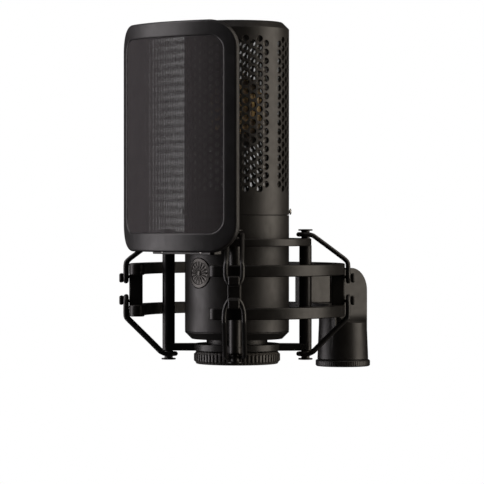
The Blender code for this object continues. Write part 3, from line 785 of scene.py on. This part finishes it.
def knuckle():
    """The block between the rings and the tilt joint's tongue behind it, drawn as (y, z)."""
    low, high = 0.0359, 0.0525
    front, back = MIC_Y + RING_INNER, -0.0163
    body = softened([(front, low), (back, low), (back, high), (front, high)], 0.0008)
    block = placed(slab([body], -KNUCKLE_HALF, KNUCKLE_HALF, 0.0005), (0.0, 0.0, 0.0), FACING_X)
    top = math.radians(180) - math.asin((high - PIVOT_Z) / EAR_RADIUS)
    foot = -math.pi + math.asin((PIVOT_Z - low) / EAR_RADIUS)
    disc = arc(EAR_RADIUS, math.degrees(foot), math.degrees(top), 72)
    disc += [(back - 0.001, high - PIVOT_Z - 0.0003), (back - 0.001, low - PIVOT_Z + 0.0003)]
    tongue = placed(slab([disc, circle(0.0032, count=32)], -KNUCKLE_HALF, -0.0004, 0.0004),
                    AT_PIVOT, FACING_X)
    made("tilt_knuckle", joined(block, tongue), MOUNT_PLASTIC, "outer_frame",
         ["frame_knuckle"])


# Stand socket


def socket():
    """The stand socket: a stepped barrel, scooped beside the ear that carries the tilt bolt."""
    scoop_z, scoop = 0.0323, 0.008
    body = lathed([(0.0, scoop_z), (0.0134, scoop_z), (0.0134, 0.0240), (0.0142, 0.0042),
                   (0.0139, 0.0037), (0.0, 0.0037)], 96)
    scooped = placed(lathed([(0.0, 0.02), (scoop, 0.02), (scoop, -0.02), (0.0, -0.02)], 96),
                     (0.0065 + scoop, 0.0, scoop_z), ALONG_Y)
    step = brick((-0.02, -0.02, PIVOT_Z - 0.0136), (0.0004, 0.02, 0.06), 0.00001)
    body = cut(body, [scooped, step])
    outline = arc(EAR_RADIUS, 0, 180, 48) + [(-EAR_RADIUS, -0.0225), (EAR_RADIUS, -0.0225)]
    ear = placed(slab([outline], 0.0004, 0.0065, 0.00001, 1), AT_PIVOT, FACING_X)
    body = cut(body, [ear], "UNION")
    bore = lathed([(0.0, 0.0186), (0.0098, 0.0186), (0.0098, -0.001), (0.0, -0.001)], 64)
    pivot = placed(lathed([(0.0, 0.0052), (0.0032, 0.0052), (0.0032, -0.004), (0.0, -0.004)], 32),
                   AT_PIVOT, ALONG_X)
    body = eased(cut(body, [bore, pivot]), 0.00035)
    made("stand_socket", body, SOCKET_PAINT, "socket", ["swivel_socket"], sharp=30.0)


def threaded_insert():
    """The brass insert, its bore threaded at 27 turns per inch."""
    rows, steps, pitch = 116, 48, 0.0254 / 27
    low, high, crest, root = 0.0, 0.0180, 0.0076, 0.0080
    inner = [(root, low + (high - low) * j / rows) for j in range(rows + 1)]
    profile = [(0.0095, high), (0.0095, low)] + inner

    def thread(i, k):
        if i < 4 or i > rows:
            return 0.0
        phase = (profile[i][1] / pitch - k / steps) % 1.0
        return (crest - root) * (1.0 - abs(2.0 * phase - 1.0))

    made("brass_insert", lathed(profile, steps, thread), BRASS, "socket", ["thread_insert"])


def collar():
    """The collar under the stand socket, finely knurled round its rim."""
    samples, teeth = 4, 72
    profile = [(0.0146, 0.0036), (0.0152, 0.0030), (0.0152, 0.0006), (0.0146, 0.0), (0.0100, 0.0),
               (0.0098, 0.0002), (0.0098, 0.0034), (0.0100, 0.0036)]

    def knurl(i, k):
        return -0.0001 if i in (1, 2) and k % samples in (0, 1) else 0.0

    made("knurled_collar", lathed(profile, samples * teeth, knurl), MOUNT_PLASTIC,
         "thread_collar", ["thread_collar"])


def tilt_lock():
    """The lobed knob that locks the tilt, with its bolt and washer."""
    count, lobes = 160, 8
    outline = []
    for i in range(count):
        t = 2 * math.pi * i / count
        out = 0.0108 + 0.0008 * math.cos(lobes * t)
        outline.append((out * math.cos(t), out * math.sin(t)))
    knob = slab([outline, circle(0.0033, count=40)], -0.0203, -0.0080, 0.0010, 4)
    raised = [(0.0066, -0.0197), (0.0066, -0.0204), (0.0040, -0.0204), (0.0040, -0.0197)]
    hub = lathed(softened(raised, 0.0002, 2), 64)
    made("tilt_knob", placed(joined(knob, hub), AT_PIVOT, FACING_X), MOUNT_PLASTIC,
         "lock_knob", ["lock_knob"])
    bolt = softened([(0.0, 0.0046), (0.0029, 0.0046), (0.0029, -0.0150), (0.0017, -0.0150),
                     (0.0015, -0.0130), (0.0, -0.0130)], 0.0002, 2, closed=False)
    made("tilt_bolt", placed(lathed(bolt, 48), AT_PIVOT, ALONG_X), STEEL,
         "lock_knob", ["pivot_bolt"])
    ring = [(0.0080, -0.0067), (0.0080, -0.0076), (0.0032, -0.0076), (0.0032, -0.0067)]
    washer = lathed(softened(ring, 0.0002, 2), 64)
    made("tilt_washer", placed(washer, AT_PIVOT, ALONG_X), STEEL,
         "lock_knob", ["lock_washer"])


# Elastic cords


def cord_path(angle, route, peg_z, spacing=0.00036):
    """An evenly spaced, smoothed closed loop round a holder peg and a frame hook."""
    half = PEG_NECK + CORD_RADIUS + 0.0003
    corners = []
    for i in range(9):
        swing = math.radians(90 + 22.5 * i)
        corners.append((POST_CIRCLE + half * math.cos(swing), half * math.sin(swing), peg_z))
    corners += [(out, -across, height) for out, across, height in route]
    corners += [(out, across, height) for out, across, height in reversed(route)]
    loop = []
    for out, across, height in corners:
        x, y = round_mic(out, angle, across)
        loop.append(Vector((x, MIC_Y + y, height)))
    dense = []
    for near, far in zip(loop, loop[1:] + loop[:1]):
        parts = max(1, round((far - near).length / 0.0001))
        dense += [near.lerp(far, i / parts) for i in range(parts)]
    for _ in range(2):
        size = len(dense)
        dense = [sum((dense[(i + k) % size] for k in range(-5, 6)), Vector()) / 11 for i in range(size)]
    length = sum((a - b).length for a, b in zip(dense, dense[1:] + dense[:1]))
    count = round(length / spacing)
    return [dense[round(i * len(dense) / count) % len(dense)] for i in range(count)], length


def braided(path, length):
    """A closed tube with a braided surface along the path."""
    count, sides, strands = len(path), 16, 4
    repeats = round(length / 0.0018)
    tangents = [(path[(i + 1) % count] - path[i - 1]).normalized() for i in range(count)]
    normal = tangents[0].orthogonal().normalized()
    normals = []
    for tangent in tangents:
        normal = (normal - tangent * normal.dot(tangent)).normalized()
        normals.append(normal)
    gap = normals[0].angle(normals[-1])
    side = 1.0 if normals[-1].cross(normals[0]).dot(tangents[0]) > 0 else -1.0
    verts, faces, marks = [], [], []
    for i in range(count):
        twist = side * gap * i / count
        binormal = tangents[i].cross(normals[i])
        along = i / count * repeats
        for k in range(sides):
            turn = 2 * math.pi * k / sides
            weave = math.cos(strands * turn) * math.cos(2 * math.pi * along)
            out = CORD_RADIUS * (0.985 + 0.015 * weave)
            swing = turn + twist
            verts.append(path[i] + (normals[i] * math.cos(swing) + binormal * math.sin(swing)) * out)
            marks.append((along, 4.0 * k / sides))
    for i in range(count):
        near, far = i * sides, (i + 1) % count * sides
        faces += [(near + k, near + (k + 1) % sides, far + (k + 1) % sides, far + k)
                  for k in range(sides)]
    mesh = meshed(verts, faces)
    layer = mesh.uv_layers.new(name="along")
    for loop in mesh.loops:
        layer.data[loop.index].uv = marks[loop.vertex_index]
    return mesh


def elastics():
    """Eight loops, each round a holder peg and a frame hook, with their place baked in and no body."""
    for corner, angle in CORNERS.items():
        for level, route, peg_z in (("upper", UPPER_CORD, 0.0739), ("lower", LOWER_CORD, 0.00975)):
            name = f"elastic_{level}_{corner}"
            ends = []
            for out, _, height in (route[HOOK_END], route[PEG_END]):
                x, y = round_mic(out, angle)
                ends.append((x, MIC_Y + y, height))
            made(f"braided_{name}", braided(*cord_path(angle, route, peg_z)), ELASTIC, "outer_frame",
                 [name], sharp=80.0, stretch=("cradle", *ends))


# Pop filter


def rounded_box(half_width, low, high, corner, spacing=0.0022):
    """A rounded rectangle's outline with closely spaced points."""
    corners = []
    for side, level, start in ((1, low, -90), (1, high, 0), (-1, high, 90), (-1, low, 180)):
        inset = corner if level == low else -corner
        corners.append(arc(corner, start, start + 90, 14, (side * (half_width - corner), level + inset)))
    outline = []
    for bend, following in zip(corners, corners[1:] + corners[:1]):
        outline += bend
        near, far = Vector(bend[-1]), Vector(following[0])
        parts = max(1, round((far - near).length / spacing))
        outline += [tuple(near.lerp(far, i / parts)) for i in range(1, parts)]
    return outline


def bent(mesh):
    """Bends a slab drawn as (x on the front face, z, depth behind it) to the filter's curve."""
    form = bmesh.new()
    form.from_mesh(mesh)
    for i in range(-FOLDS, FOLDS + 1):
        place = (FILTER_RADIUS * math.sin(math.radians(FOLD_STEP * i)), 0.0, 0.0)
        shape = form.verts[:] + form.edges[:] + form.faces[:]
        bmesh.ops.bisect_plane(form, geom=shape, plane_co=place, plane_no=(1.0, 0.0, 0.0),
                               dist=0.000001)
    form.to_mesh(mesh)
    form.free()
    for vert in mesh.vertices:
        x, z, depth = vert.co
        turn, radius = math.asin(x / FILTER_RADIUS), FILTER_RADIUS - depth
        vert.co = (radius * math.sin(turn), FILTER_Y - radius * math.cos(turn), z)
    return mesh


def filter_wires(radius, half, low, high, corner, across, up_pitch):
    """Crossed wires within a rounded rectangle, bent to the filter's curve."""
    up, centre = Vector((0.0, 0.0, 1.0)), Vector((0.0, FILTER_Y, 0.0))

    def at(turn, height, lift):
        outward = Vector((math.sin(turn), -math.cos(turn), 0.0))
        return centre + outward * (radius + lift) + up * height, outward

    def trim(reach, limit):
        short = max(0.0, abs(reach) - (limit - corner))
        return corner - math.sqrt(max(0.0, corner ** 2 - short ** 2))

    uprights, rungs = [], []
    span, middle, tall = math.asin(half / FILTER_RADIUS), (low + high) / 2, (high - low) / 2
    columns = int(span * radius / across)
    for i in range(-columns, columns + 1):
        turn = i * across / radius
        less = trim(FILTER_RADIUS * math.sin(turn), half)
        ends = [at(turn, level, 0.00006) for level in (low + less, high - less)]
        uprights.append([(point, outward, outward.cross(up)) for point, outward in ends])
    rows = int(tall / up_pitch)
    for j in range(-rows, rows + 1):
        reach = math.asin((half - trim(j * up_pitch, tall)) / FILTER_RADIUS)
        path = []
        for i in range(25):
            point, outward = at(reach * (i / 12 - 1), middle + j * up_pitch, -0.00006)
            path.append((point, outward, up))
        rungs.append(path)
    return joined(wires(uprights, 0.2 * across, 0.14 * across),
                  wires(rungs, 0.2 * up_pitch, 0.14 * up_pitch))


def pop_filter():
    """Two curved rims, each holding a woven mesh of its own fineness."""
    outer = rounded_box(FILTER_HALF, FILTER_LOW, FILTER_HIGH, FILTER_CORNER)
    half, low, high = FILTER_HALF - SIDE_BORDER, FILTER_LOW + FOOT_BORDER, FILTER_HIGH - TOP_BORDER
    window = rounded_box(half, low, high, WINDOW_CORNER)
    for name, layer in (("front", FRONT_LAYER), ("rear", REAR_LAYER)):
        rim = bent(slab([outer, window], *layer, RIM_EDGE, 4))
        made(f"filter_{name}_rim", rim, FILTER_PLASTIC, "pop_filter",
             [f"filter_{name}_frame"])
    tuck = 0.0002
    weaves = (("front", 0.0007, 0.00050, 0.00050), ("rear", 0.0052, 0.00031, 0.00045))
    for name, depth, across, up_pitch in weaves:
        weave = filter_wires(FILTER_RADIUS - depth, half + tuck, low - tuck, high + tuck, 0.0076,
                             across, up_pitch)
        made(f"filter_{name}_weave", weave, FILTER_WIRE, "pop_filter",
             [f"filter_{name}_mesh"], sharp=60.0)


def filter_dock():
    """The bar on the cradle that the filter's foot meets, and that foot."""
    low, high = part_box("filter_dock")
    front = low.y - MIC_Y
    outline = softened([(-0.024, front + 0.0015), (-0.0225, front), (0.0225, front),
                        (0.024, front + 0.0015), (0.024, -0.0337), (-0.024, -0.0337)], 0.0008)
    dock = placed(slab([outline], low.z, high.z, 0.0004), ON_AXIS)
    seats = [placed(lathed([(0.0, -0.037), (0.0015, -0.037), (0.0015, -0.043), (0.0, -0.043)], 32),
                    (x, MIC_Y, 0.0656), ALONG_Y) for x in (-0.015, 0.015)]
    made("dock_bar", cut(dock, seats), MOUNT_PLASTIC, "cradle", ["filter_dock"],
         sharp=30.0)
    low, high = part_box("filter_bracket")
    bracket = brick((low.x, MIC_Y - 0.0500, low.z), (high.x, high.y, high.z), 0.0005)
    wall = lathed([(0.0, 0.08), (0.0799, 0.08), (0.0799, 0.05), (0.0, 0.05)], 180)
    bracket = cut(bracket, [placed(wall, (0.0, FILTER_Y, 0.0))], "INTERSECT")
    made("filter_foot", bracket, FILTER_PLASTIC, "pop_filter", ["filter_bracket"],
         sharp=30.0)


def kept_nodes():
    """Gives the CAD nodes that stay in view their finishes."""
    finishes = {
        BRASS: ["capsule_front_ring", "capsule_rear_ring", "capsule_backplate", "chassis_rail_left",
                "chassis_rail_right"],
        GOLD_FILM: ["front_diaphragm", "rear_diaphragm"],
        STEEL: ["dock_magnet_left", "dock_magnet_right", "connector_pin_1", "connector_pin_2",
                "connector_pin_3"],
        INSULATOR: ["head_floor", "connector_insert", "capsule_saddle"],
        SOFT_RUBBER: ["capsule_isolator"],
        SOLDER_MASK: ["circuit_board"],
    }
    for material, names in finishes.items():
        for name in names:
            for place in NODES[name].material_slots:
                place.material = material


# Studio


def studio():
    """A white background that hardly lights the object, a pale floor and three soft boxes."""
    bpy.context.scene.view_settings.view_transform = "Standard"
    world = bpy.data.worlds.new("studio")
    bpy.context.scene.world = world
    world.use_nodes = True
    tree = world.node_tree
    backdrop = tree.nodes["Background"]
    backdrop.inputs["Color"].default_value = (1.0, 1.0, 1.0, 1.0)
    path = tree.nodes.new("ShaderNodeLightPath")
    level = tree.nodes.new("ShaderNodeMapRange")
    level.inputs["To Min"].default_value = BACKDROP_LIGHT
    level.inputs["To Max"].default_value = BACKDROP_SEEN
    tree.links.new(path.outputs["Is Camera Ray"], level.inputs["Value"])
    tree.links.new(level.outputs["Result"], backdrop.inputs["Strength"])

    # The floor shows to the camera only, so that it neither lights the object nor takes its shadow.
    edge = [(x, y, FLOOR_Z) for x, y in circle(FLOOR_RADIUS, count=96)]
    floor = meshed(edge, [list(range(len(edge)))])
    floor_object = bpy.data.objects.new("floor", floor)
    bpy.context.scene.collection.objects.link(floor_object)
    floor.materials.append(floor_finish())
    for ray in ("diffuse", "glossy", "transmission", "shadow"):
        setattr(floor_object, f"visible_{ray}", False)

    target = Vector((0.0, MIC_Y, 0.085))
    for name, azimuth, distance, height, size, power, colour in (
        ("left_box", -46.0, 1.0, 0.35, (0.75, 1.9), 13.2, (1.0, 0.94, 0.96)),
        ("right_box", 127.0, 1.0, 0.35, (0.80, 1.9), 13.4, (1.0, 0.90, 0.78)),
        ("top_box", 46.0, 0.6, 1.4, (0.8, 0.8), 1.5, (1.0, 0.95, 0.95)),
    ):
        light = bpy.data.lights.new(name, "AREA")
        light.shape = "RECTANGLE"
        light.size, light.size_y = size
        light.energy = power
        light.color = colour
        lamp = bpy.data.objects.new(name, light)
        x, y = round_mic(distance, azimuth)
        lamp.location = (x, MIC_Y + y, height)
        lamp.rotation_euler = (target - lamp.location).to_track_quat("-Z", "Y").to_euler()
        bpy.context.scene.collection.objects.link(lamp)


def camera():
    """A long lens in front, towards +X, near the height of the object's middle."""
    azimuth, distance, eye = 46.5, 1.4516, 0.0865
    aim_right, aim_height = 0.00269, 0.0698
    data = bpy.data.cameras.new("camera")
    data.sensor_width = 36.0
    data.lens = 200.8
    data.clip_start = 0.05
    shooter = bpy.data.objects.new("camera", data)
    x, y = round_mic(distance, azimuth)
    shooter.location = (x, MIC_Y + y, eye)
    right = round_mic(1.0, azimuth + 90.0)
    aim = Vector((right.x * aim_right, MIC_Y + right.y * aim_right, aim_height))
    shooter.rotation_euler = (aim - shooter.location).to_track_quat("-Z", "Y").to_euler()
    bpy.context.scene.collection.objects.link(shooter)
    bpy.context.scene.camera = shooter


camera()
studio()
grille()
liner()
sleeve()
emblem()
end_cap()
grille_screws()
cradle()
retaining_ring()
outer_frame()
knuckle()
socket()
threaded_insert()
collar()
tilt_lock()
elastics()
pop_filter()
filter_dock()
kept_nodes()
